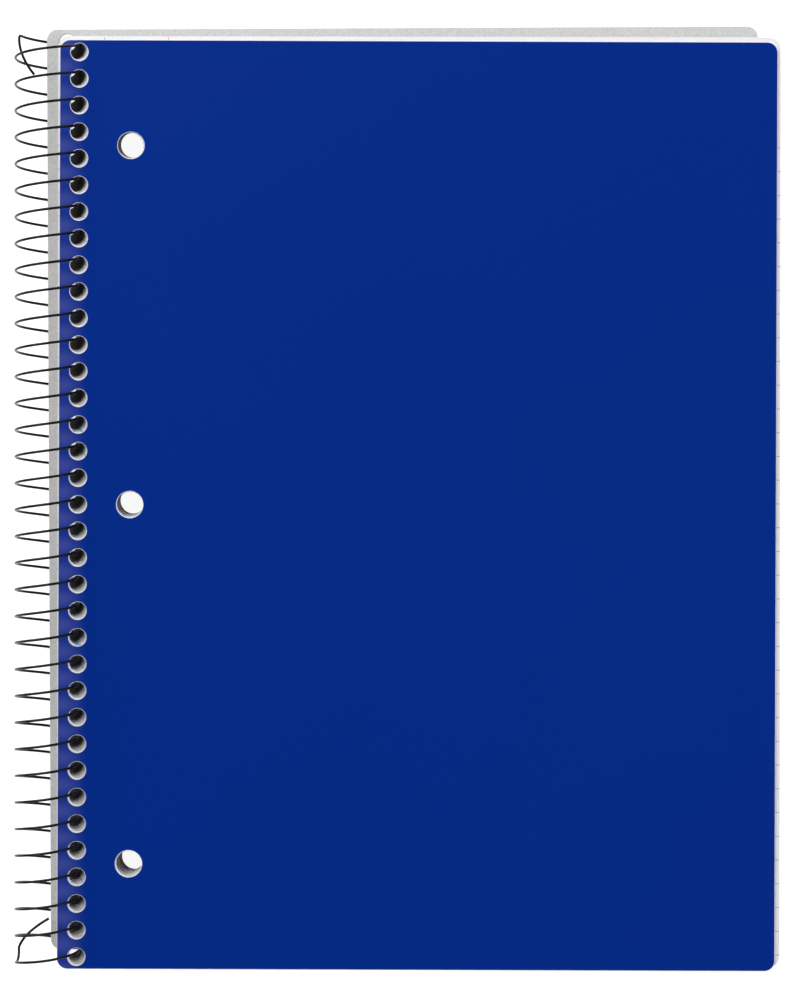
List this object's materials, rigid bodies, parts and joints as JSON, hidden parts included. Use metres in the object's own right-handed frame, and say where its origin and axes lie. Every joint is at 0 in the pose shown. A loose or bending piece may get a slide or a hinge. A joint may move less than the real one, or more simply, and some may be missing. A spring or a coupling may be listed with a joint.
{
  "type": "spiral_notebook",
  "caption": "Closed spiral notebook with a glossy blue cover, a grey board back, a stack of sheets and a black wire coil along the spine",
  "frame": {"origin": "middle of the back cover's underside", "axes": "+X from the spine to the open side, +Y to the head of the page, +Z from the back cover to the front cover"},
  "size_m": [0.2311, 0.2853, 0.0202],
  "materials": {
    "front_cover": "gloss",
    "pages": "matte",
    "back_cover": "matte",
    "coil": "gloss"
  },
  "bodies": {
    "block": {"pages": "pages", "spiral_coil": "coil"},
    "front": {"front_cover": "front_cover"},
    "back": {"back_cover": "back_cover"}
  },
  "joints": [
    {"name": "front_cover_hinge", "type": "hinge", "parent": "block", "child": "front", "pos_m": [-0.10735, 0, 0.0083], "axis": [0, -1, 0], "range_deg": [0, 175]},
    {"name": "back_cover_hinge", "type": "hinge", "parent": "block", "child": "back", "pos_m": [-0.10735, 0, 0.0083], "axis": [0, 1, 0], "range_deg": [0, 45]}
  ]
}
